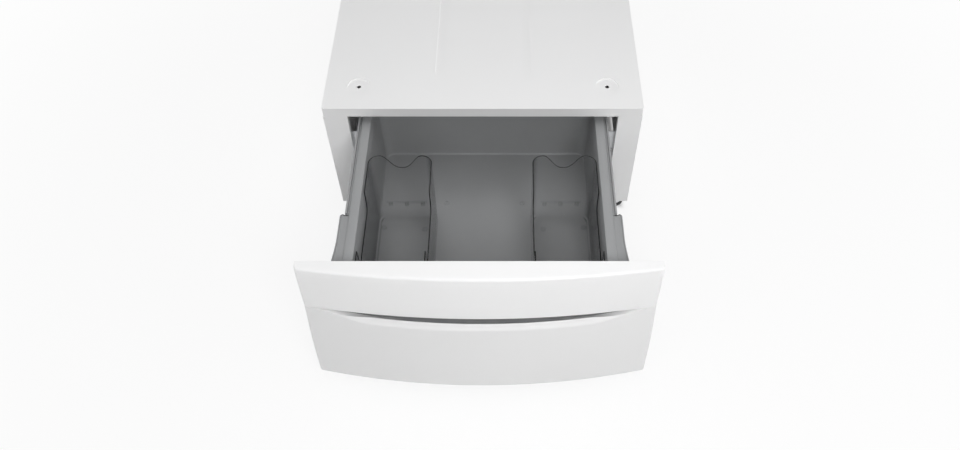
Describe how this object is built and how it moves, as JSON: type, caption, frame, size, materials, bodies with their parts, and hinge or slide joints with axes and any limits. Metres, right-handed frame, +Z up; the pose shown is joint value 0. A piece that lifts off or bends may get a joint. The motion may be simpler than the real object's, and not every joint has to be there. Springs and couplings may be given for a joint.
{
  "type": "washer pedestal drawer",
  "caption": "White and grey pedestal for a front-loading washer: a sheet-metal cabinet on levelling feet with a wide bow-fronted pull-out storage drawer and clear lift-out bins.",
  "frame": {"origin": "on the floor, at the centre of the ground that the pedestal and its open drawer cover", "axes": "+Z up, -Y towards the user, the way the drawer opens, +X to the user's right; the rest pose is the drawer pulled out to its stops"},
  "size_m": [0.686, 1.1094, 0.345],
  "materials": {
    "paint": "satin",
    "zinc": "zinc plated",
    "bright": "polished",
    "grey_plastic": "fine grain",
    "white_plastic": "satin gloss",
    "smoke": "clear, smoked",
    "black_rubber": "matte",
    "bumper_rubber": "matte"
  },
  "bodies": {
    "cabinet": {"side_panel_left": "paint", "side_panel_right": "paint", "back_panel": "paint", "top_deck": "paint", "header_rail": "paint", "rear_rail": "paint", "deck_channel_left": "zinc", "deck_channel_right": "zinc", "base_rail_front": "paint", "base_rail_rear": "paint", "corner_bracket_front_left": "zinc", "corner_bracket_front_right": "zinc", "corner_bracket_rear_left": "zinc", "corner_bracket_rear_right": "zinc", "foot_lock_nuts": "zinc", "back_screws": "zinc", "slide_rail_left": "zinc", "slide_rail_right": "zinc", "slide_rivets": "zinc", "slide_cabinet_member_left": "zinc", "slide_cabinet_member_right": "zinc"},
    "foot_front_left": {"foot_stem_front_left": "zinc", "foot_shoe_front_left": "black_rubber"},
    "foot_front_right": {"foot_stem_front_right": "zinc", "foot_shoe_front_right": "black_rubber"},
    "foot_rear_left": {"foot_stem_rear_left": "zinc", "foot_shoe_rear_left": "black_rubber"},
    "foot_rear_right": {"foot_stem_rear_right": "zinc", "foot_shoe_rear_right": "black_rubber"},
    "slide_middle_left": {"slide_middle_member_left": "zinc"},
    "ball_run_outer_left": {"outer_cage_left": "bright", "outer_balls_left": "bright"},
    "ball_run_inner_left": {"inner_cage_left": "bright", "inner_balls_left": "bright"},
    "slide_middle_right": {"slide_middle_member_right": "zinc"},
    "ball_run_outer_right": {"outer_cage_right": "bright", "outer_balls_right": "bright"},
    "ball_run_inner_right": {"inner_cage_right": "bright", "inner_balls_right": "bright"},
    "drawer": {"drawer_tub": "grey_plastic", "slide_drawer_member_left": "zinc", "slide_drawer_member_right": "zinc", "slide_screws": "zinc", "front_shell": "white_plastic", "front_liner": "grey_plastic", "handle_pocket": "grey_plastic", "side_cheek_left": "grey_plastic", "side_cheek_right": "grey_plastic", "front_screws": "zinc", "front_bumpers": "bumper_rubber"},
    "lift_out_divider_left": {"divider_left": "smoke"},
    "lift_out_divider_right": {"divider_right": "smoke"}
  },
  "joints": [
    {"name": "drawer_slide", "type": "slide", "parent": "cabinet", "child": "drawer", "axis": [0, -1, 0], "range_m": [-0.383, 0]},
    {"name": "middle_slide_left", "type": "slide", "parent": "cabinet", "child": "slide_middle_left", "axis": [0, -1, 0], "range_m": [-0.1915, 0]},
    {"name": "outer_balls_slide_left", "type": "slide", "parent": "cabinet", "child": "ball_run_outer_left", "axis": [0, -1, 0], "range_m": [-0.09575, 0]},
    {"name": "inner_balls_slide_left", "type": "slide", "parent": "cabinet", "child": "ball_run_inner_left", "axis": [0, -1, 0], "range_m": [-0.28725, 0]},
    {"name": "middle_slide_right", "type": "slide", "parent": "cabinet", "child": "slide_middle_right", "axis": [0, -1, 0], "range_m": [-0.1915, 0]},
    {"name": "outer_balls_slide_right", "type": "slide", "parent": "cabinet", "child": "ball_run_outer_right", "axis": [0, -1, 0], "range_m": [-0.09575, 0]},
    {"name": "inner_balls_slide_right", "type": "slide", "parent": "cabinet", "child": "ball_run_inner_right", "axis": [0, -1, 0], "range_m": [-0.28725, 0]},
    {"name": "foot_turn_front_left", "type": "hinge", "parent": "cabinet", "child": "foot_front_left", "pos_m": [-0.316, -0.03417, 0], "axis": [0, 0, 1], "continuous": true},
    {"name": "foot_turn_front_right", "type": "hinge", "parent": "cabinet", "child": "foot_front_right", "pos_m": [0.316, -0.03417, 0], "axis": [0, 0, 1], "continuous": true},
    {"name": "foot_turn_rear_left", "type": "hinge", "parent": "cabinet", "child": "foot_rear_left", "pos_m": [-0.316, 0.52183, 0], "axis": [0, 0, 1], "continuous": true},
    {"name": "foot_turn_rear_right", "type": "hinge", "parent": "cabinet", "child": "foot_rear_right", "pos_m": [0.316, 0.52183, 0], "axis": [0, 0, 1], "continuous": true},
    {"name": "divider_lift_left", "type": "slide", "parent": "drawer", "child": "lift_out_divider_left", "axis": [0, 0, 1], "range_m": [0, 0.22]},
    {"name": "divider_lift_right", "type": "slide", "parent": "drawer", "child": "lift_out_divider_right", "axis": [0, 0, 1], "range_m": [0, 0.22]}
  ],
  "couplings": [
    {"joint": "middle_slide_left", "follows": "drawer_slide", "ratio": 0.5},
    {"joint": "outer_balls_slide_left", "follows": "drawer_slide", "ratio": 0.25},
    {"joint": "inner_balls_slide_left", "follows": "drawer_slide", "ratio": 0.75},
    {"joint": "middle_slide_right", "follows": "drawer_slide", "ratio": 0.5},
    {"joint": "outer_balls_slide_right", "follows": "drawer_slide", "ratio": 0.25},
    {"joint": "inner_balls_slide_right", "follows": "drawer_slide", "ratio": 0.75}
  ]
}
